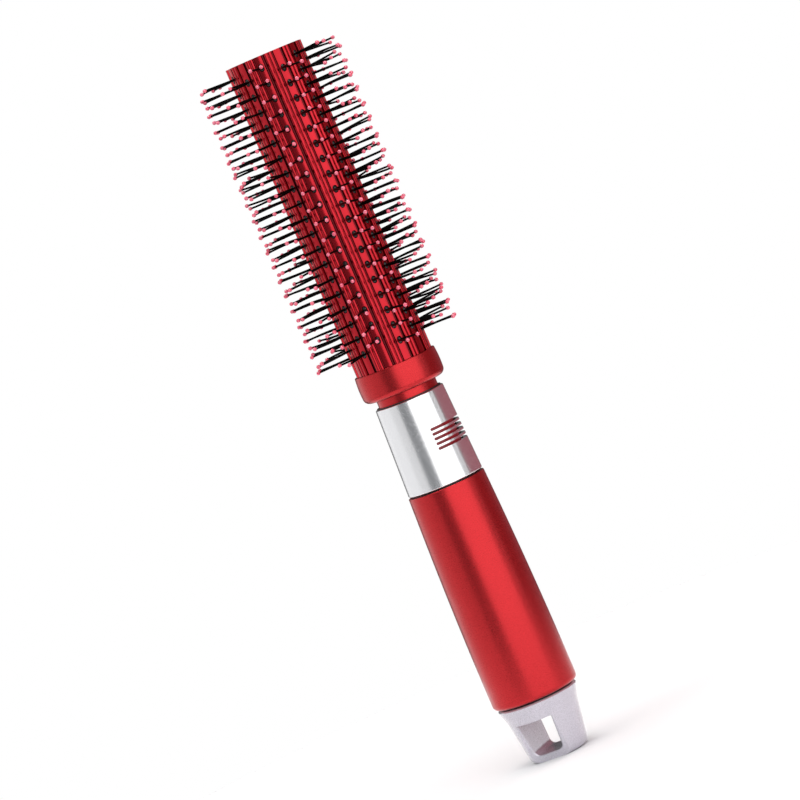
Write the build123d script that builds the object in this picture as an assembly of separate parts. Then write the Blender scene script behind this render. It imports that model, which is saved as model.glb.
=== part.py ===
"""Round hair-curling brush: a fluted metal barrel with twin ball-tipped pins, a sleeve, a handle and a cap.

Millimetres. The origin is the centre of the end cap's flat bottom and +Z runs up the brush to the
barrel's tip. The hanging slot goes through the cap along Y, and the sleeve's vents are centred on +X.
Angles around the brush start at -Y (the front) and grow towards +X.
"""
from build123d import *
from math import cos, radians, sin
import os

# Heights along the axis, from the cap's bottom to the barrel's tip
CAP_TOP = 19.6
HANDLE_BOTTOM = 20.15
HANDLE_TOP = 92.45
SLEEVE_BOTTOM = 93.0
SLEEVE_TOP = 122.1
WASHER_TOP = 122.45
COLLAR_BOTTOM = 124.95
COLLAR_TOP = 134.0
TOTAL_LENGTH = 238.2

# Barrel tube: a drawn section with twelve flat lands, and a double rib between each two. A wide groove
# follows each land and a narrow one comes before the next.
ROW_COUNT = 12
ROW_STEP = 360 / ROW_COUNT
FIRST_ROW = ROW_STEP / 2
RIB_RADIUS = 12.7
RIB_EDGE_RADIUS = 12.5
RIB_LINE_RADIUS = 12.35
LAND_RADIUS = 12.36
LAND_EDGE_RADIUS = 12.3
WIDE_GROOVE_RADIUS = 11.55
WIDE_GROOVE_EDGE_RADIUS = 11.65
NARROW_GROOVE_RADIUS = 11.85
NARROW_GROOVE_EDGE_RADIUS = 11.9
TUBE_BORE = 10.9
BARREL_FOOT = 127.0

# Bristle strips: a bar inside the tube, with bosses that fill its holes and two pins on each boss
BOSS_COUNT = 19
BOSS_PITCH = 5.085
HIGH_ROW_START = 234.5
LOW_ROW_START = HIGH_ROW_START - BOSS_PITCH / 2
BOSS_WIDTH = 1.5
BOSS_LENGTH = 2.4
BOSS_TOP = 12.55
BOSS_ROUNDING = 0.45
HOLE_CLEARANCE = 0.05
BAR_WIDTH = 2.4
BAR_INNER = 9.6
BAR_OUTER = 10.8
BAR_END = 1.2
PIN_RADIUS = 0.34
PIN_ROOT_RADIUS = 11.6
PIN_ROOT_OFFSET = 0.37
PIN_INTO_BALL = 0.3
BALL_RADIUS = 0.65
BALL_CENTRE_RADIUS = 23.2
BALL_CENTRE_ANGLE = 4.5

# Inner core of the barrel: a twelve-sided former that presses the strips outwards
CORE_BOTTOM = 128.0
CORE_TOP = 236.0
CORE_BORE = 6.0

# Plug in the barrel's tip
PLUG_TOP = 237.5
PLUG_SPIGOT_BOTTOM = 227.0
PLUG_EDGE = 0.5

# Collar, neck and the spigots above and below them
COLLAR_EDGE_RADIUS = 13.45
COLLAR_SWELL_RADIUS = 13.75
COLLAR_TOP_ROUNDING = 0.25
COLLAR_BOTTOM_ROUNDING = 2.0
COLLAR_FLOOR = BARREL_FOOT
NECK_RADIUS = 10.0
NECK_BOTTOM = 118.0
UPPER_SPIGOT_TOP = 142.0
LOWER_SPIGOT_RADIUS = 7.0
LOWER_SPIGOT_BOTTOM = 98.0

# Metal sleeve and the red core inside it
SLEEVE_TOP_RADIUS = 11.4
SLEEVE_BOTTOM_RADIUS = 12.5
SLEEVE_EDGE = 0.35
SLEEVE_CORE_RADIUS = 10.0
SLEEVE_CORE_BOTTOM = 78.0
SLEEVE_MOUTH_DEPTH = 1.2
NECK_GAP = 0.3
WASHER_RADIUS = 10.8
POCKET_RADIUS = 10.8
POCKET_BOTTOM = 99.0
POCKET_TOP = 116.0
VENT_COUNT = 5
VENT_PITCH = 1.6
VENT_HEIGHT = 0.95
VENT_MIDDLE = 107.6
VENT_FIRST_ANGLE = 36.5
VENT_LAST_ANGLE = 143.5

# Handle shell and the tube inside it
HANDLE_OUTLINE = [(12.75, HANDLE_TOP), (13.35, 76.0), (13.85, 58.0), (14.15, 38.0), (14.2, 22.0)]
HANDLE_BOTTOM_ROUNDING = 1.5
HANDLE_TOP_ROUNDING = 0.3
HANDLE_CORE_RADIUS = 11.2
HANDLE_CORE_BOTTOM = CAP_TOP
HANDLE_CORE_TOP = SLEEVE_BOTTOM
HANDLE_CORE_BORE = 9.0

# End cap: a band above a waist, a foot with two sloping flats, and the hanging slot between the flats
CAP_BAND_RADIUS = 13.2
CAP_BAND_EDGE = 0.4
CAP_WAIST_RADIUS = 11.65
CAP_WAIST = 13.9
CAP_FOOT_RADIUS = 10.1
CAP_FOOT = 3.3
CAP_BOTTOM_RADIUS = 7.6
CAP_PLUG_TOP = 30.0
FLAT_TOP_DISTANCE = 9.75
FLAT_FOOT_DISTANCE = 7.0
FLAT_HALF_WIDTH = 9.0
SLOT_FLOOR = 2.3
SLOT_TOP_HALF_WIDTH = 6.1
SLOT_FLOOR_HALF_WIDTH = 4.7
SLOT_BEVEL = 0.4
SLOT_FLOOR_CORNER = 2.0


def ring_point(angle, radius, z=0.0):
    """A point at an angle around the brush, from -Y towards +X."""
    return Vector(radius * sin(radians(angle)), -radius * cos(radians(angle)), z)


def revolved(*edges):
    """A solid of revolution about Z from a closed outline given in the XZ plane."""
    return revolve(make_face(list(edges)), Axis.Z)


def outline(*points):
    """Straight edges through (radius, height) points."""
    return [Line((a[0], 0, a[1]), (b[0], 0, b[1])) for a, b in zip(points, points[1:])]


def turned(*points):
    """A solid of revolution with a straight-sided closed outline of (radius, height) points."""
    return revolved(*outline(*points, points[0]))


def tube(outer, inner, bottom, top):
    """A plain round tube between two heights."""
    return turned((inner, bottom), (outer, bottom), (outer, top), (inner, top))


def rod(radius, bottom, top):
    """A plain round bar between two heights."""
    return Pos(0, 0, bottom) * extrude(Circle(radius), top - bottom)


def edges_at(part, z):
    """The edges of a part that lie at one height."""
    return part.edges().filter_by_position(Axis.Z, z, z)


def row_angle(row):
    """The angle of a bristle row around the brush."""
    return FIRST_ROW + row * ROW_STEP


def boss_heights(row):
    """The heights of a row's bosses: every other row is half a pitch lower."""
    start = HIGH_ROW_START if row % 2 == 0 else LOW_ROW_START
    return [start - i * BOSS_PITCH for i in range(BOSS_COUNT)]


def flute_section():
    """The barrel tube's outer section: land, wide groove, rib, fine line, rib and narrow groove.

    Each stretch is an arc from one angle to another, with a radius at its edges and one at its middle.
    """
    spans = [
        (-5.4, 5.4, LAND_EDGE_RADIUS, LAND_RADIUS),
        (6.0, 9.4, WIDE_GROOVE_EDGE_RADIUS, WIDE_GROOVE_RADIUS),
        (10.1, 15.3, RIB_EDGE_RADIUS, RIB_RADIUS),
        (15.6, 16.0, RIB_LINE_RADIUS, RIB_LINE_RADIUS),
        (16.3, 21.5, RIB_EDGE_RADIUS, RIB_RADIUS),
        (22.2, 23.8, NARROW_GROOVE_EDGE_RADIUS, NARROW_GROOVE_RADIUS),
    ]
    arcs = []
    for row in range(ROW_COUNT):
        for start, end, edge, middle in spans:
            angles = [row_angle(row) + angle for angle in (start, (start + end) / 2, end)]
            points = [ring_point(angle, radius) for angle, radius in zip(angles, (edge, middle, edge))]
            arcs.append(ThreePointArc(*points))
    joins = [Line(here @ 1, following @ 0) for here, following in zip(arcs, arcs[1:] + arcs[:1])]
    return make_face(arcs + joins)


def pill(width, length, inner, outer):
    """An upright round-ended bar that points out along X, from an inner to an outer radius."""
    base = Plane(origin=(inner, 0, 0), x_dir=(0, 0, 1), z_dir=(1, 0, 0))
    return extrude(base * SlotOverall(length, width), outer - inner)


def in_row(row, z):
    """The place of a boss: local X points straight out of the barrel."""
    return Rot(0, 0, row_angle(row) - 90) * Pos(0, 0, z)


def barrel_tube():
    body = Pos(0, 0, BARREL_FOOT) * extrude(flute_section(), TOTAL_LENGTH - BARREL_FOOT)
    body -= rod(TUBE_BORE, BARREL_FOOT, TOTAL_LENGTH)
    hole = pill(BOSS_WIDTH + 2 * HOLE_CLEARANCE, BOSS_LENGTH + 2 * HOLE_CLEARANCE, BAR_INNER, RIB_RADIUS + 1)
    for row in range(ROW_COUNT):
        body -= [in_row(row, z) * hole for z in boss_heights(row)]
    return body


def pin_line(side):
    """A pin's first point and its ball's centre, in the XY plane of its boss."""
    root = Vector(PIN_ROOT_RADIUS, side * PIN_ROOT_OFFSET, 0)
    lean = radians(side * BALL_CENTRE_ANGLE)
    return root, Vector(BALL_CENTRE_RADIUS * cos(lean), BALL_CENTRE_RADIUS * sin(lean), 0)


def pin(side):
    root, ball = pin_line(side)
    along = (ball - root).normalized()
    plane = Plane(origin=root, x_dir=(0, 0, 1), z_dir=along)
    return extrude(plane * Circle(PIN_RADIUS), (ball - root).length + PIN_INTO_BALL)


def bristle_strip():
    """A strip with its first boss at height zero: a nylon bar and its studs, each a boss and twin pins.

    The bar and the studs are one moulding, kept as separate solids that touch on the bar's outer face.
    """
    length = (BOSS_COUNT - 1) * BOSS_PITCH
    bar = Pos((BAR_INNER + BAR_OUTER) / 2, 0, -length / 2) * Box(
        BAR_OUTER - BAR_INNER, BAR_WIDTH, length + 2 * BAR_END
    )
    boss = pill(BOSS_WIDTH, BOSS_LENGTH, BAR_OUTER, BOSS_TOP)
    boss = fillet(boss.edges().filter_by_position(Axis.X, BOSS_TOP, BOSS_TOP), BOSS_ROUNDING)
    stud = boss + pin(1) + pin(-1)
    return [bar] + [Pos(0, 0, -i * BOSS_PITCH) * stud for i in range(BOSS_COUNT)]


def ball_set():
    """The ball tips of one strip, each with the pin's end inside it."""
    balls = []
    for side in (1, -1):
        root, centre = pin_line(side)
        balls.append(Pos(centre) * Sphere(BALL_RADIUS) - pin(side))
    return [Pos(0, 0, -i * BOSS_PITCH) * ball for i in range(BOSS_COUNT) for ball in balls]


def barrel_core():
    flats = Pos(0, 0, CORE_BOTTOM) * extrude(
        RegularPolygon(BAR_INNER, ROW_COUNT, major_radius=False), CORE_TOP - CORE_BOTTOM
    )
    return flats - rod(CORE_BORE, CORE_BOTTOM, CORE_TOP)


def tip_plug():
    head = rod(TUBE_BORE, CORE_TOP, PLUG_TOP)
    head = chamfer(edges_at(head, PLUG_TOP), PLUG_EDGE)
    return head + rod(CORE_BORE, PLUG_SPIGOT_BOTTOM, CORE_TOP)


def base_collar():
    edge, swell = COLLAR_EDGE_RADIUS, COLLAR_SWELL_RADIUS
    middle = (COLLAR_TOP + COLLAR_BOTTOM) / 2
    side = ThreePointArc((edge, 0, COLLAR_BOTTOM), (swell, 0, middle), (edge, 0, COLLAR_TOP))
    rest = outline(
        (edge, COLLAR_TOP),
        (RIB_RADIUS, COLLAR_TOP),
        (RIB_RADIUS, COLLAR_FLOOR),
        (CORE_BORE, COLLAR_FLOOR),
        (CORE_BORE, UPPER_SPIGOT_TOP),
        (0, UPPER_SPIGOT_TOP),
        (0, LOWER_SPIGOT_BOTTOM),
        (LOWER_SPIGOT_RADIUS, LOWER_SPIGOT_BOTTOM),
        (LOWER_SPIGOT_RADIUS, NECK_BOTTOM),
        (NECK_RADIUS, NECK_BOTTOM),
        (NECK_RADIUS, COLLAR_BOTTOM),
        (edge, COLLAR_BOTTOM),
    )
    body = revolved(side, *rest)
    outer = edges_at(body, COLLAR_BOTTOM).sort_by(SortBy.RADIUS)[-1]
    body = fillet(outer, COLLAR_BOTTOM_ROUNDING)
    rim = edges_at(body, COLLAR_TOP).sort_by(SortBy.RADIUS)[-1]
    return fillet(rim, COLLAR_TOP_ROUNDING)


def neck_washer():
    return tube(WASHER_RADIUS, NECK_RADIUS, SLEEVE_TOP, WASHER_TOP)


def vent():
    """One slit around the +X side, with round ends."""
    inner, outer = SLEEVE_CORE_RADIUS - 1, SLEEVE_BOTTOM_RADIUS + 1
    half = VENT_HEIGHT / 2
    sweep = VENT_LAST_ANGLE - VENT_FIRST_ANGLE
    section = make_face(outline((inner, -half), (outer, -half), (outer, half), (inner, half), (inner, -half)))
    slit = Rot(0, 0, VENT_FIRST_ANGLE - 90) * revolve(section, Axis.Z, sweep)
    for angle in (VENT_FIRST_ANGLE, VENT_LAST_ANGLE):
        end = Plane(origin=(0, 0, 0), x_dir=(0, 0, 1), z_dir=ring_point(angle, 1)) * Circle(half)
        slit += extrude(end, outer) - rod(inner, -half, half)
    return slit


def silver_sleeve():
    body = turned(
        (SLEEVE_CORE_RADIUS, SLEEVE_BOTTOM),
        (SLEEVE_BOTTOM_RADIUS, SLEEVE_BOTTOM),
        (SLEEVE_TOP_RADIUS, SLEEVE_TOP),
        (NECK_RADIUS + NECK_GAP, SLEEVE_TOP),
        (NECK_RADIUS + NECK_GAP, SLEEVE_TOP - SLEEVE_MOUTH_DEPTH),
        (SLEEVE_CORE_RADIUS, SLEEVE_TOP - SLEEVE_MOUTH_DEPTH),
    )
    body -= rod(POCKET_RADIUS, POCKET_BOTTOM, POCKET_TOP)
    for height in (SLEEVE_BOTTOM, SLEEVE_TOP):
        body = fillet(edges_at(body, height).sort_by(SortBy.RADIUS)[-1], SLEEVE_EDGE)
    first = VENT_MIDDLE - (VENT_COUNT - 1) / 2 * VENT_PITCH
    return body - [Pos(0, 0, first + i * VENT_PITCH) * vent() for i in range(VENT_COUNT)]


def sleeve_core():
    return tube(SLEEVE_CORE_RADIUS, LOWER_SPIGOT_RADIUS, SLEEVE_CORE_BOTTOM, NECK_BOTTOM)


def handle_shell():
    side = Spline(*[(radius, 0, z) for radius, z in HANDLE_OUTLINE])
    foot_radius, foot = HANDLE_OUTLINE[-1]
    rest = outline(
        (foot_radius, foot),
        (foot_radius, HANDLE_BOTTOM),
        (HANDLE_CORE_RADIUS, HANDLE_BOTTOM),
        (HANDLE_CORE_RADIUS, HANDLE_TOP),
        HANDLE_OUTLINE[0],
    )
    body = revolved(side, *rest)
    body = fillet(edges_at(body, HANDLE_BOTTOM).sort_by(SortBy.RADIUS)[-1], HANDLE_BOTTOM_ROUNDING)
    return fillet(edges_at(body, HANDLE_TOP).sort_by(SortBy.RADIUS)[-1], HANDLE_TOP_ROUNDING)


def handle_core():
    """The tube inside the handle, with a counterbore at its top for the sleeve's core."""
    return turned(
        (HANDLE_CORE_BORE, HANDLE_CORE_BOTTOM),
        (HANDLE_CORE_RADIUS, HANDLE_CORE_BOTTOM),
        (HANDLE_CORE_RADIUS, HANDLE_CORE_TOP),
        (SLEEVE_CORE_RADIUS, HANDLE_CORE_TOP),
        (SLEEVE_CORE_RADIUS, SLEEVE_CORE_BOTTOM),
        (HANDLE_CORE_BORE, SLEEVE_CORE_BOTTOM),
    )


def slot_window(plane, stretch=1.0, margin=0.0):
    """The slot's outline, wide at the top, with a margin round its sides and floor."""
    top, floor = SLOT_TOP_HALF_WIDTH + margin, SLOT_FLOOR_HALF_WIDTH + margin
    high, low = CAP_WAIST * stretch, SLOT_FLOOR * stretch - margin
    window = plane * Polygon((-floor, low), (floor, low), (top, high), (-top, high), align=None)
    corners = window.vertices().sort_by(Axis.Z)[:2]
    return fillet(corners, SLOT_FLOOR_CORNER + margin)


def hanging_slot():
    return extrude(slot_window(Plane.XZ), 2 * CAP_BAND_RADIUS, both=True)


def foot_flat():
    """What is cut away in front of the foot's -Y flat, and along the bevelled mouth of the slot there."""
    foot, top, beyond = -FLAT_FOOT_DISTANCE, -FLAT_TOP_DISTANCE, -2 * CAP_BAND_RADIUS
    side = Plane.YZ * Polygon((foot, 0), (top, CAP_WAIST), (beyond, CAP_WAIST), (beyond, 0), align=None)
    up = Vector(0, top - foot, CAP_WAIST)
    outwards = Vector(1, 0, 0).cross(up).normalized()
    flat = Plane(origin=(0, foot, 0), x_dir=(1, 0, 0), z_dir=outwards)
    mouth = slot_window(flat, up.length / CAP_WAIST, SLOT_BEVEL)
    return extrude(side, FLAT_HALF_WIDTH, both=True) + extrude(mouth, SLOT_BEVEL, dir=-outwards, taper=45)


def end_cap():
    band = Spline(
        (CAP_BAND_RADIUS, 0, CAP_TOP - CAP_BAND_EDGE),
        (CAP_WAIST_RADIUS, 0, CAP_WAIST),
        tangents=[(-0.36, 0, -1), (-0.2, 0, -1)],
    )
    side = Line((CAP_WAIST_RADIUS, 0, CAP_WAIST), (CAP_FOOT_RADIUS, 0, CAP_FOOT))
    foot = Spline(
        (CAP_FOOT_RADIUS, 0, CAP_FOOT),
        (CAP_BOTTOM_RADIUS, 0, 0),
        tangents=[(-0.15, 0, -1), (-1, 0, 0)],
    )
    rest = outline(
        (CAP_BOTTOM_RADIUS, 0),
        (0, 0),
        (0, CAP_PLUG_TOP),
        (HANDLE_CORE_BORE, CAP_PLUG_TOP),
        (HANDLE_CORE_BORE, CAP_TOP),
        (CAP_BAND_RADIUS - CAP_BAND_EDGE, CAP_TOP),
        (CAP_BAND_RADIUS, CAP_TOP - CAP_BAND_EDGE),
    )
    body = revolved(band, side, foot, *rest)
    return body - hanging_slot() - foot_flat() - Rot(0, 0, 180) * foot_flat()


def save(name, shape):
    export_step(shape, f"parts/{name}.step")


def main():
    os.makedirs("parts", exist_ok=True)
    save("barrel_tube", barrel_tube())
    save("barrel_core", barrel_core())
    save("tip_plug", tip_plug())
    save("base_collar", base_collar())
    save("neck_washer", neck_washer())
    save("sleeve_core", sleeve_core())
    save("silver_sleeve", silver_sleeve())
    save("handle_core", handle_core())
    save("handle_shell", handle_shell())
    save("end_cap", end_cap())
    strip = bristle_strip()
    balls = ball_set()
    for row in range(ROW_COUNT):
        place = in_row(row, boss_heights(row)[0])
        save(f"bristle_strip_{row + 1:02d}", Compound(children=[place * solid for solid in strip]))
        save(f"ball_tips_{row + 1:02d}", Compound(children=[place * ball for ball in balls]))


if __name__ == "__main__":
    main()
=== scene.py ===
"""Looks of a round hair brush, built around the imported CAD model.

Metres, in the CAD model's frame: +Z runs up the brush from the cap's bottom, and angles around the brush
start at -Y (the front) and grow towards +X. Lengths named in millimetres are turned into metres with MM.
"""
import math
import random

import bmesh
import bpy
from mathutils import Matrix, Vector


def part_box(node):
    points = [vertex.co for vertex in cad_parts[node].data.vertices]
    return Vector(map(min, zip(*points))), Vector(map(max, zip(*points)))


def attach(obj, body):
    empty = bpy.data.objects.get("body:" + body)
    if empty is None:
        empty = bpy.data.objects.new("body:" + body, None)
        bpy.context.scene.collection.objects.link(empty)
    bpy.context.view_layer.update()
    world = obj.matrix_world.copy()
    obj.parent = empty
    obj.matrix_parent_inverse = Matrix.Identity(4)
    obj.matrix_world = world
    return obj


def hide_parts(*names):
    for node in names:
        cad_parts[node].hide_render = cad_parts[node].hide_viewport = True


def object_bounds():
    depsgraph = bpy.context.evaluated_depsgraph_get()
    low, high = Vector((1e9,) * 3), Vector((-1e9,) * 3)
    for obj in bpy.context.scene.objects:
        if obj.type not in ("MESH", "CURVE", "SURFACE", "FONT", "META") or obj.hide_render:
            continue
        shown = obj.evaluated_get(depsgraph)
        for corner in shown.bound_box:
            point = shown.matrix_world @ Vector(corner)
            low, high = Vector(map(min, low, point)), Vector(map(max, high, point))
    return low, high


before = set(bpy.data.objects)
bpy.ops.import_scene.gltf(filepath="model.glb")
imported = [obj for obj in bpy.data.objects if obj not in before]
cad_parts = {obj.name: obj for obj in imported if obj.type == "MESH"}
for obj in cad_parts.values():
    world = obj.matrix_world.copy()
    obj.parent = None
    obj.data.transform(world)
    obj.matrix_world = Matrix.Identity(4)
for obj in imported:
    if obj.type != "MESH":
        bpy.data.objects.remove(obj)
cad_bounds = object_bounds()

MM = 0.001
ROWS = 12
BOSSES_PER_ROW = 19
SEED = 7

# Camera, as the photograph was taken: a long lens, the brush turned about its axis and leaning left
CAMERA_AZIMUTH = 24.3
CAMERA_ELEVATION = 3.95
CAMERA_DISTANCE = 1.33
CAMERA_ROLL = 23.14
CAMERA_TARGET_HEIGHT = 0.5137
CAMERA_TARGET_SIDE = -2.97 * MM
LENS = 191.0
SENSOR = 36.0


def ring_point(angle, radius, z=0.0):
    """A point at an angle around the brush, in degrees from -Y towards +X."""
    turn = math.radians(angle)
    return Vector((radius * math.sin(turn), -radius * math.cos(turn), z))


def ring_angle(point):
    """The angle around the brush of a point."""
    return math.degrees(math.atan2(point.x, -point.y))


# ---------------------------------------------------------------------------------------------- materials


# The middle range of a noise, which is spread over a finish's own range
NOISE_LOW = 0.3
NOISE_HIGH = 0.7

# Noise scales, per metre, of the soft clouds in lacquer and in moulded plastic
LACQUER_CLOUDS = 60.0
PLASTIC_CLOUDS = 160.0


def new_material(name):
    """A material that has only its output and shader nodes, with its node tree and its shader."""
    material = bpy.data.materials.new(name)
    material.use_nodes = True
    tree = material.node_tree
    return material, tree, tree.nodes["Principled BSDF"]


def set_sockets(node, **values):
    """Sets sockets by name; an underscore in a keyword stands for a space."""
    for name, value in values.items():
        node.inputs[name.replace("_", " ")].default_value = value


def noise(tree, scale, detail=2.0, roughness=0.5, stretch=(1.0, 1.0, 1.0)):
    """A noise over the object's own coordinates; stretch squeezes its grain along each axis."""
    place = tree.nodes.new("ShaderNodeTexCoord")
    mapping = tree.nodes.new("ShaderNodeMapping")
    mapping.inputs["Scale"].default_value = stretch
    grain = tree.nodes.new("ShaderNodeTexNoise")
    set_sockets(grain, Scale=scale, Detail=detail, Roughness=roughness)
    tree.links.new(place.outputs["Object"], mapping.inputs["Vector"])
    tree.links.new(mapping.outputs["Vector"], grain.inputs["Vector"])
    return grain.outputs["Fac"]


def spread(tree, value, low, high, start=NOISE_LOW, end=NOISE_HIGH):
    """Maps start..end of a value onto low..high."""
    node = tree.nodes.new("ShaderNodeMapRange")
    node.inputs["From Min"].default_value = start
    node.inputs["From Max"].default_value = end
    node.inputs["To Min"].default_value = low
    node.inputs["To Max"].default_value = high
    tree.links.new(value, node.inputs["Value"])
    return node.outputs["Result"]


def blend_colours(tree, value, low, high):
    """A colour that goes from low to high with a value."""
    ramp = tree.nodes.new("ShaderNodeValToRGB")
    ramp.color_ramp.elements[0].position = NOISE_LOW
    ramp.color_ramp.elements[1].position = NOISE_HIGH
    ramp.color_ramp.elements[0].color = (*low, 1.0)
    ramp.color_ramp.elements[1].color = (*high, 1.0)
    tree.links.new(value, ramp.inputs["Fac"])
    return ramp.outputs["Color"]


def bump(tree, shader, value, distance):
    """Raises the surface by up to a distance, in metres, where the value is high."""
    node = tree.nodes.new("ShaderNodeBump")
    set_sockets(node, Distance=distance, Strength=1.0)
    tree.links.new(value, node.inputs["Height"])
    tree.links.new(node.outputs["Normal"], shader.inputs["Normal"])


# How far flakes take a satin finish's roughness down and up, and how much its clouds add
FLAKE_SMOOTHER = 0.07
FLAKE_ROUGHER = 0.05
CLOUD_ROUGHER = 0.03


def flake_metal(name, dark, light, metallic, rough, grain_size, relief, coat=0.0, coat_rough=0.12):
    """A satin metallic finish: fine flakes that change its colour, its gloss and its relief a little."""
    material, tree, shader = new_material(name)
    set_sockets(shader, Metallic=metallic, Coat_Weight=coat, Coat_Roughness=coat_rough)
    flakes = noise(tree, 1.0 / grain_size, detail=3.0, roughness=0.7)
    clouds = noise(tree, LACQUER_CLOUDS, detail=2.0)
    tree.links.new(blend_colours(tree, flakes, dark, light), shader.inputs["Base Color"])
    mix = tree.nodes.new("ShaderNodeMath")
    mix.operation = "ADD"
    tree.links.new(spread(tree, flakes, rough - FLAKE_SMOOTHER, rough + FLAKE_ROUGHER), mix.inputs[0])
    tree.links.new(spread(tree, clouds, 0.0, CLOUD_ROUGHER), mix.inputs[1])
    tree.links.new(mix.outputs[0], shader.inputs["Roughness"])
    bump(tree, shader, flakes, relief)
    return material


def by_radius(tree, inner, outer, at_inner, at_outer):
    """A value that changes with the distance from the brush's axis."""
    place = tree.nodes.new("ShaderNodeTexCoord")
    level = tree.nodes.new("ShaderNodeVectorMath")
    level.operation = "MULTIPLY"
    level.inputs[1].default_value = (1.0, 1.0, 0.0)
    distance = tree.nodes.new("ShaderNodeVectorMath")
    distance.operation = "LENGTH"
    tree.links.new(place.outputs["Object"], level.inputs[0])
    tree.links.new(level.outputs["Vector"], distance.inputs[0])
    return spread(tree, distance.outputs["Value"], at_inner, at_outer, inner, outer)


# Places of the mix node's two colour inputs and its colour output
MIX_LOW = 6
MIX_HIGH = 7
MIX_RESULT = 2


def mix_colours(tree, share, low, high):
    """Mixes two colour outputs by a value from 0 to 1."""
    mix = tree.nodes.new("ShaderNodeMix")
    mix.data_type = "RGBA"
    tree.links.new(share, mix.inputs["Factor"])
    tree.links.new(low, mix.inputs[MIX_LOW])
    tree.links.new(high, mix.inputs[MIX_HIGH])
    return mix.outputs[MIX_RESULT]


# Where the painted shade in the flutes' hollows is full and where it has faded out on their lands, and
# where a boss ends and its pins begin
FULL_SHADE_RADIUS = 11.75 * MM
NO_SHADE_RADIUS = 12.35 * MM
BOSS_GLOSS_RADIUS = 12.6 * MM
PIN_GLOSS_RADIUS = 13.0 * MM

# The lines drawn along the barrel: their scale, how they stretch along it, and their depth
DRAWN_SCALE = 3200.0
DRAWN_STRETCH = (1.0, 1.0, 0.012)
DRAWN_DEPTH = 0.002 * MM

# The slower change of the barrel's dye
DYE_SCALE = 90.0
DYE_STRETCH = (1.0, 1.0, 0.3)


def anodised_red():
    """Glossy dyed aluminium with faint lines drawn along the tube, and painted shade in its hollows: far
    darker colour nearer the axis.
    """
    material, tree, shader = new_material("anodised_red")
    set_sockets(shader, Metallic=1.0, Coat_Weight=0.2, Coat_Roughness=0.12)
    lines = noise(tree, DRAWN_SCALE, detail=1.0, stretch=DRAWN_STRETCH)
    tone = noise(tree, DYE_SCALE, detail=2.0, stretch=DYE_STRETCH)
    land = blend_colours(tree, tone, (0.4, 0.01, 0.018), (0.53, 0.016, 0.027))
    # Painted shade: the hollows' colour is far darker than the lands', standing in for the shadow that
    # falls in the flutes' grooves
    hollow_shade_colour = blend_colours(tree, tone, (0.08, 0.001, 0.003), (0.11, 0.002, 0.005))
    shade_free_share = by_radius(tree, FULL_SHADE_RADIUS, NO_SHADE_RADIUS, 0.0, 1.0)
    tree.links.new(mix_colours(tree, shade_free_share, hollow_shade_colour, land), shader.inputs["Base Color"])
    tree.links.new(spread(tree, lines, 0.2, 0.27), shader.inputs["Roughness"])
    bump(tree, shader, lines, DRAWN_DEPTH)
    return material


def glossy_nylon():
    """Black nylon: glossy on the bosses and duller along the thin pins."""
    material, tree, shader = new_material("black_nylon")
    clouds = noise(tree, PLASTIC_CLOUDS, detail=2.0)
    colour = blend_colours(tree, clouds, (0.001, 0.0009, 0.0009), (0.002, 0.0018, 0.0018))
    gloss = by_radius(tree, BOSS_GLOSS_RADIUS, PIN_GLOSS_RADIUS, 1.0, 0.0)
    tree.links.new(colour, shader.inputs["Base Color"])
    tree.links.new(spread(tree, gloss, 0.04, 0.6, 0.0, 1.0), shader.inputs["Specular IOR Level"])
    tree.links.new(spread(tree, gloss, 0.4, 0.1, 0.0, 1.0), shader.inputs["Roughness"])
    return material


# How far the clouds take a moulded plastic's roughness down and up
PLASTIC_SMOOTHER = 0.04
PLASTIC_ROUGHER = 0.05


def moulded(name, dark, light, rough, relief=0.004 * MM, grain=900.0, **sockets):
    """A moulded plastic with a faint uneven gloss."""
    material, tree, shader = new_material(name)
    set_sockets(shader, **sockets)
    grains = noise(tree, grain, detail=3.0)
    clouds = noise(tree, PLASTIC_CLOUDS, detail=2.0)
    tree.links.new(blend_colours(tree, clouds, dark, light), shader.inputs["Base Color"])
    roughness = spread(tree, clouds, rough - PLASTIC_SMOOTHER, rough + PLASTIC_ROUGHER)
    tree.links.new(roughness, shader.inputs["Roughness"])
    bump(tree, shader, grains, relief)
    return material


def all_materials():
    """Every finish, by the record's slot name."""
    return {
        "anodised_red": anodised_red(),
        "red_satin": flake_metal(
            "red_satin",
            (0.4, 0.01, 0.014),
            (0.6, 0.02, 0.026),
            0.95,
            0.3,
            0.22 * MM,
            0.012 * MM,
            coat=0.3,
            coat_rough=0.3,
        ),
        "red_core": moulded(
            "red_core", (0.36, 0.008, 0.016), (0.46, 0.012, 0.022), 0.32, Coat_Weight=0.15
        ),
        "satin_chrome": flake_metal(
            "satin_chrome", (0.78, 0.78, 0.8), (0.88, 0.88, 0.9), 1.0, 0.23, 0.2 * MM, 0.003 * MM
        ),
        "black_nylon": glossy_nylon(),
        "pink_bead": moulded(
            "pink_bead",
            (0.74, 0.1, 0.17),
            (0.9, 0.22, 0.31),
            0.13,
            Subsurface_Weight=0.6,
            Subsurface_Radius=(1.0, 0.25, 0.35),
            Subsurface_Scale=0.6 * MM,
            Coat_Weight=0.5,
        ),
        "pearl_silver": flake_metal(
            "pearl_silver",
            (0.51, 0.485, 0.55),
            (0.615, 0.59, 0.66),
            0.4,
            0.28,
            0.16 * MM,
            0.004 * MM,
            coat=1.0,
        ),
        "black_core": moulded("black_core", (0.006, 0.006, 0.006), (0.012, 0.01, 0.01), 0.5),
    }


# ------------------------------------------------------------------------------------------------- pieces


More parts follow.
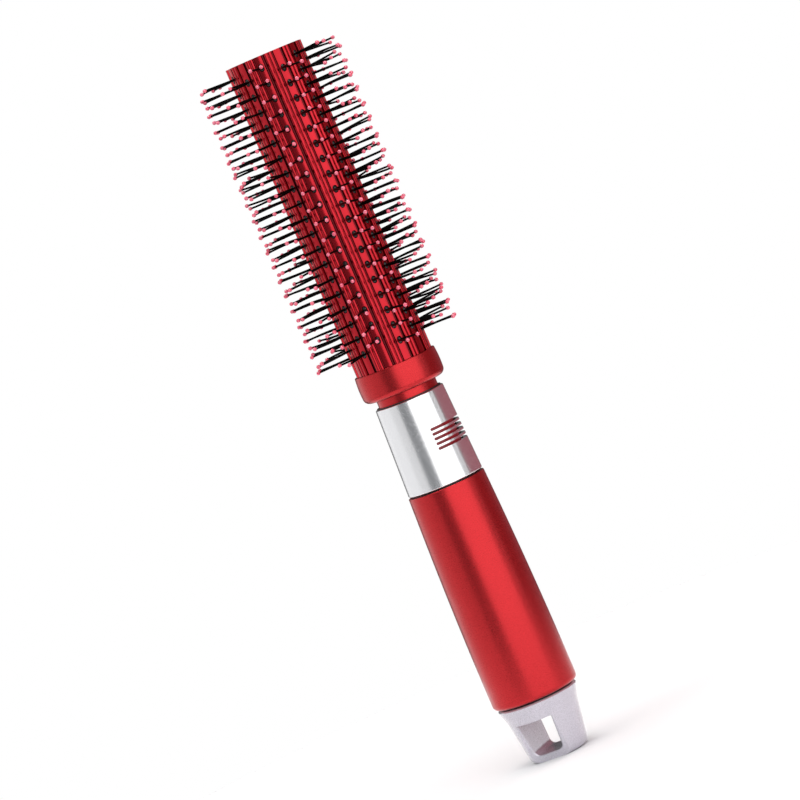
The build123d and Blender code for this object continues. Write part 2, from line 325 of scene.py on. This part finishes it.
def mesh_piece(name, verts, faces, slot_name, material, body="root"):
    """A smooth-shaded mesh piece that rides on a body."""
    mesh = bpy.data.meshes.new(name)
    mesh.from_pydata([tuple(v) for v in verts], [], faces)
    mesh.update()
    piece = bpy.data.objects.new(name, mesh)
    bpy.context.scene.collection.objects.link(piece)
    work = bmesh.new()
    work.from_mesh(mesh)
    bmesh.ops.recalc_face_normals(work, faces=work.faces)
    work.to_mesh(mesh)
    work.free()
    mesh.materials.append(material)
    for face in mesh.polygons:
        face.use_smooth = True
    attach(piece, body)
    return piece


def join_rings(verts, faces, rings):
    """Adds rings with equal numbers of points, the faces between them, and a face at each end."""
    start = len(verts)
    count = len(rings[0])
    for ring in rings:
        verts.extend(ring)
    for r in range(len(rings) - 1):
        low = start + r * count
        for i in range(count):
            j = (i + 1) % count
            faces.append((low + i, low + j, low + count + j, low + count + i))
    faces.append(tuple(range(start, start + count)))
    last = start + (len(rings) - 1) * count
    faces.append(tuple(range(last, last + count)))


def round_ring(centre, side, up, radius, sides):
    """Points on a circle in the plane of two directions."""
    turns = [2 * math.pi * k / sides for k in range(sides)]
    return [centre + radius * (math.cos(t) * side + math.sin(t) * up) for t in turns]


def add_rod(verts, faces, path, radii, sides):
    """Adds a thin rod along a path, with a radius at each of its points."""
    rings = []
    for i, point in enumerate(path):
        along = (path[min(i + 1, len(path) - 1)] - path[max(i - 1, 0)]).normalized()
        side = along.cross(Vector((0, 0, 1))).normalized()
        up = side.cross(along)
        rings.append(round_ring(point, side, up, radii[i], sides))
    join_rings(verts, faces, rings)


BALL_SIDES = 14
BALL_BANDS = 9


def add_ball(verts, faces, centre, axis, radius, stretch):
    """Adds a ball that is a little longer along its axis."""
    side = axis.cross(Vector((0, 0, 1))).normalized()
    up = side.cross(axis)
    rings = []
    for band in range(BALL_BANDS):
        polar = math.pi * (band + 0.5) / BALL_BANDS
        middle = centre + axis * (-math.cos(polar) * radius * stretch)
        rings.append(round_ring(middle, side, up, radius * math.sin(polar), BALL_SIDES))
    join_rings(verts, faces, rings)


# A boss: half its width and length, how far from the brush's axis it starts, and its round dome
BOSS_HALF_WIDTH = 0.75 * MM
BOSS_HALF_LENGTH = 1.2 * MM
BOSS_ROOT = 11.2 * MM
DOME_BOTTOM = 11.95 * MM
DOME_HEIGHT = 0.75 * MM
DOME_STEPS = 9
DOME_SWEEP = 0.47 * math.pi
BOSS_SIDES = 24


def boss_ring(out, across, z, radius, share):
    """One oval ring of a boss, at a distance from the brush's axis and a share of its full size."""
    straight = BOSS_HALF_LENGTH - BOSS_HALF_WIDTH
    middle = out * radius + Vector((0, 0, z))
    ring = []
    for k in range(BOSS_SIDES):
        turn = 2 * math.pi * (k + 0.5) / BOSS_SIDES
        x = BOSS_HALF_WIDTH * math.cos(turn) * share
        y = (BOSS_HALF_WIDTH * math.sin(turn) + math.copysign(straight, math.sin(turn))) * share
        ring.append(middle + across * x + Vector((0, 0, y)))
    return ring


def add_boss(verts, faces, out, across, z):
    """Adds an oval domed boss that stands out of the barrel."""
    turns = [DOME_SWEEP * step / (DOME_STEPS - 1) for step in range(DOME_STEPS)]
    dome = [(math.cos(turn), DOME_BOTTOM + DOME_HEIGHT * math.sin(turn)) for turn in turns]
    rings = [boss_ring(out, across, z, radius, share) for share, radius in [(1.0, BOSS_ROOT)] + dome]
    join_rings(verts, faces, rings)


# A pin: where it leaves its boss, its two radii, and how far its tip strays by chance, across and along
PIN_ROOT = 12.0 * MM
PIN_ROOT_OFFSET = 0.36 * MM
PIN_ROOT_RADIUS = 0.4 * MM
PIN_TIP_RADIUS = 0.31 * MM
PIN_STEPS = 7
PIN_SIDES = 10
PIN_STRAY = 0.2 * MM
PIN_STRAY_ALONG = 0.45 * MM
PIN_BOW_ACROSS = 0.1 * MM
PIN_BOW_ALONG = 0.12 * MM
BALL_RADIUS = 0.65 * MM
BALL_STRETCH = 1.08
BALL_SMALLEST = 0.92
BALL_LARGEST = 1.04
BAR_HALF_WIDTH = 1.2 * MM
BAR_INNER = 9.65 * MM
BAR_OUTER = 10.78 * MM
BAR_BEVEL = 0.2 * MM


def pin_path(root, tip, bow):
    """Points from a root to a tip, bowed sideways in the middle."""
    steps = [i / (PIN_STEPS - 1) for i in range(PIN_STEPS)]
    return [root.lerp(tip, t) + bow * (4 * t * (1 - t)) for t in steps]


def add_bar(verts, faces, out, across, low, high):
    """Adds the flat bar that joins a row's bosses inside the barrel, with small bevels along its edges."""
    wide, thin, thick, bevel = BAR_HALF_WIDTH, BAR_INNER, BAR_OUTER, BAR_BEVEL
    section = [
        (-wide, thin + bevel), (-wide + bevel, thin), (wide - bevel, thin), (wide, thin + bevel),
        (wide, thick - bevel), (wide - bevel, thick), (-wide + bevel, thick), (-wide, thick - bevel),
    ]
    rings = [[across * x + out * r + Vector((0, 0, z)) for x, r in section] for z in (low, high)]
    join_rings(verts, faces, rings)


def chance_step(chance, across, wide, high):
    """A small random step across the row and along the brush."""
    return across * chance.gauss(0, wide) + Vector((0, 0, chance.gauss(0, high)))


def add_pin(strip, balls, chance, root, tip, across):
    """Adds one pin to a strip's mesh and the ball on its tip to the balls' mesh."""
    tip = tip + chance_step(chance, across, PIN_STRAY, PIN_STRAY_ALONG)
    path = pin_path(root, tip, chance_step(chance, across, PIN_BOW_ACROSS, PIN_BOW_ALONG))
    taper = (PIN_TIP_RADIUS - PIN_ROOT_RADIUS) / (PIN_STEPS - 1)
    radii = [PIN_ROOT_RADIUS + taper * k for k in range(PIN_STEPS)]
    add_rod(*strip, path, radii, PIN_SIDES)
    axis = (path[-1] - path[-2]).normalized()
    size = BALL_RADIUS * chance.uniform(BALL_SMALLEST, BALL_LARGEST)
    add_ball(*balls, tip, axis, size, BALL_STRETCH)


def bristle_row(number, materials, chance):
    """One strip's bosses and twin pins, and their ball tips, in place of the CAD's straight ones."""
    strip_node = f"bristle_strip_{number:02d}"
    ball_node = f"ball_tips_{number:02d}"
    low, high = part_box(ball_node)
    out = ring_point(ring_angle((low + high) / 2), 1.0)
    across = Vector((0, 0, 1)).cross(out)
    top = high.z - BALL_RADIUS
    pitch = (top - low.z - BALL_RADIUS) / (BOSSES_PER_ROW - 1)
    ball_distance, ball_side = ball_place(ball_node, out, across)

    # Each mesh is its points and its faces
    strip = ([], [])
    balls = ([], [])
    bar_low, bar_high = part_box(strip_node)
    add_bar(*strip, out, across, bar_low.z, bar_high.z)
    for i in range(BOSSES_PER_ROW):
        level = Vector((0, 0, top - i * pitch))
        add_boss(*strip, out, across, level.z)
        for side in (-1, 1):
            root = out * PIN_ROOT + across * (side * PIN_ROOT_OFFSET) + level
            tip = out * ball_distance + across * (side * ball_side) + level
            add_pin(strip, balls, chance, root, tip, across)

    pins = mesh_piece(f"pins_row_{number:02d}", *strip, "black_nylon", materials["black_nylon"])
    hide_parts(strip_node)
    beads = mesh_piece(f"beads_row_{number:02d}", *balls, "pink_bead", materials["pink_bead"])
    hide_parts(ball_node)


def ball_place(node, out, across):
    """How far a row's ball centres are from the axis and from the row's middle plane."""
    points = [v.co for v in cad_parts[node].data.vertices]
    far = max(p.dot(out) for p in points)
    wide = max(p.dot(across) for p in points)
    return far - BALL_RADIUS, wide - BALL_RADIUS


# ---------------------------------------------------------------------------------------- dress CAD nodes

NODE_SLOTS = {
    "barrel_tube": "anodised_red",
    "barrel_core": "black_core",
    "tip_plug": "red_core",
    "base_collar": "red_satin",
    "sleeve_core": "red_core",
    "silver_sleeve": "satin_chrome",
    "handle_core": "black_core",
    "handle_shell": "red_satin",
    "end_cap": "pearl_silver",
    "neck_washer": "black_core",
}


def dress_nodes(materials):
    """Gives each CAD node that stays visible its finish."""
    for node, slot_name in NODE_SLOTS.items():
        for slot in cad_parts[node].material_slots:
            slot.material = materials[slot_name]


# -------------------------------------------------------------------------------------------------- stage

FLOOR_RADIUS = 0.26
FLOOR_SEGMENTS = 96
FLOOR_COLOUR = (0.9, 0.9, 0.9)
FLOOR_ROUGHNESS = 0.8

# Upright panels: how far they stand from the brush's axis, and the heights of their ends
LIGHT_DISTANCE = 0.9
LIGHT_LOW = -0.25
LIGHT_HIGH = 1.0


def floor():
    """A round pale floor under the brush."""
    work = bmesh.new()
    bmesh.ops.create_circle(work, cap_ends=True, radius=FLOOR_RADIUS, segments=FLOOR_SEGMENTS)
    mesh = bpy.data.meshes.new("floor")
    work.to_mesh(mesh)
    work.free()
    paint, _, shader = new_material("floor_paint")
    set_sockets(shader, Base_Color=(*FLOOR_COLOUR, 1.0), Roughness=FLOOR_ROUGHNESS)
    mesh.materials.append(paint)
    thing = bpy.data.objects.new("floor", mesh)
    bpy.context.scene.collection.objects.link(thing)


def facing_axis(position, target):
    """A rotation that points local -Z from a position at a target, with local Y upwards."""
    back = (position - target).normalized()
    side = Vector((0, 0, 1)).cross(back).normalized()
    return Matrix((side, back.cross(side), back)).transposed().to_4x4()


def panel(name, start, end, radiance, colour=(1.0, 1.0, 1.0)):
    """An upright soft light between two angles to the camera's right, seen from the brush, in degrees."""
    width = 2 * LIGHT_DISTANCE * math.tan(math.radians(end - start) / 2)
    light = bpy.data.lights.new(name, "AREA")
    light.shape = "RECTANGLE"
    light.size = width
    light.size_y = LIGHT_HIGH - LIGHT_LOW
    light.energy = radiance * math.pi * width * (LIGHT_HIGH - LIGHT_LOW)
    light.color = colour
    thing = bpy.data.objects.new(name, light)
    place = ring_point(CAMERA_AZIMUTH + (start + end) / 2, LIGHT_DISTANCE, (LIGHT_LOW + LIGHT_HIGH) / 2)
    thing.matrix_world = Matrix.Translation(place) @ facing_axis(place, Vector((0, 0, place.z)))
    thing.visible_camera = False
    bpy.context.scene.collection.objects.link(thing)


def overhead(radiance, size, height):
    """A square soft light above the brush."""
    light = bpy.data.lights.new("overhead", "AREA")
    light.size = size
    light.energy = radiance * math.pi * size * size
    thing = bpy.data.objects.new("overhead", light)
    thing.location = (0, 0, height)
    thing.visible_camera = False
    bpy.context.scene.collection.objects.link(thing)


def surroundings(seen, lit):
    """A white world as the camera sees it, and a dimmer one for light and reflections."""
    world = bpy.data.worlds.new("studio")
    world.use_nodes = True
    tree = world.node_tree
    background = tree.nodes["Background"]
    background.inputs["Color"].default_value = (1.0, 1.0, 1.0, 1.0)
    rays = tree.nodes.new("ShaderNodeLightPath")
    strength = tree.nodes.new("ShaderNodeMapRange")
    strength.inputs["To Min"].default_value = lit
    strength.inputs["To Max"].default_value = seen
    tree.links.new(rays.outputs["Is Camera Ray"], strength.inputs["Value"])
    tree.links.new(strength.outputs["Result"], background.inputs["Strength"])
    bpy.context.scene.world = world


def lights():
    """Tall soft panels round the brush, a wide key among them, and a bright square overhead."""
    panel("key", -12.0, 64.0, 1.6)
    panel("edge", 71.0, 79.0, 0.9)
    panel("warm_card", 84.0, 160.0, 0.25, (1.0, 0.14, 0.23))
    panel("gap_card", -47.0, -12.0, 0.16, (0.92, 0.96, 1.0))
    panel("left_near", -78.0, -47.0, 0.7)
    panel("left_fill", -124.0, -78.0, 0.85)
    panel("back_left", -150.0, -124.0, 0.9)
    overhead(radiance=5.2, size=1.2, height=1.5)
    surroundings(seen=1.0, lit=0.1)


def camera():
    """The photograph's camera: a long lens, with the brush's tip leaning to the upper left."""
    azimuth, elevation, roll = (math.radians(a) for a in (CAMERA_AZIMUTH, CAMERA_ELEVATION, CAMERA_ROLL))
    back = Vector(
        (
            math.sin(azimuth) * math.cos(elevation),
            -math.cos(azimuth) * math.cos(elevation),
            math.sin(elevation),
        )
    )
    level_right = Vector((0, 0, 1)).cross(back).normalized()
    level_up = back.cross(level_right)
    up = level_up * math.cos(roll) + level_right * math.sin(roll)
    right = up.cross(back)
    low, high = cad_bounds
    middle = Vector((0, 0, low[2] + CAMERA_TARGET_HEIGHT * (high[2] - low[2])))
    target = middle + level_right * CAMERA_TARGET_SIDE
    lens = bpy.data.cameras.new("camera")
    lens.lens = LENS
    lens.sensor_width = SENSOR
    thing = bpy.data.objects.new("camera", lens)
    turn = Matrix((right, up, back)).transposed().to_4x4()
    thing.matrix_world = Matrix.Translation(target + back * CAMERA_DISTANCE) @ turn
    bpy.context.scene.collection.objects.link(thing)
    bpy.context.scene.camera = thing


def main():
    """Dresses the brush, then adds the floor, the lights and the camera."""
    materials = all_materials()
    dress_nodes(materials)
    chance = random.Random(SEED)
    for number in range(1, ROWS + 1):
        bristle_row(number, materials, chance)
    floor()
    lights()
    camera()
    bpy.context.scene.view_settings.view_transform = "Standard"


main()
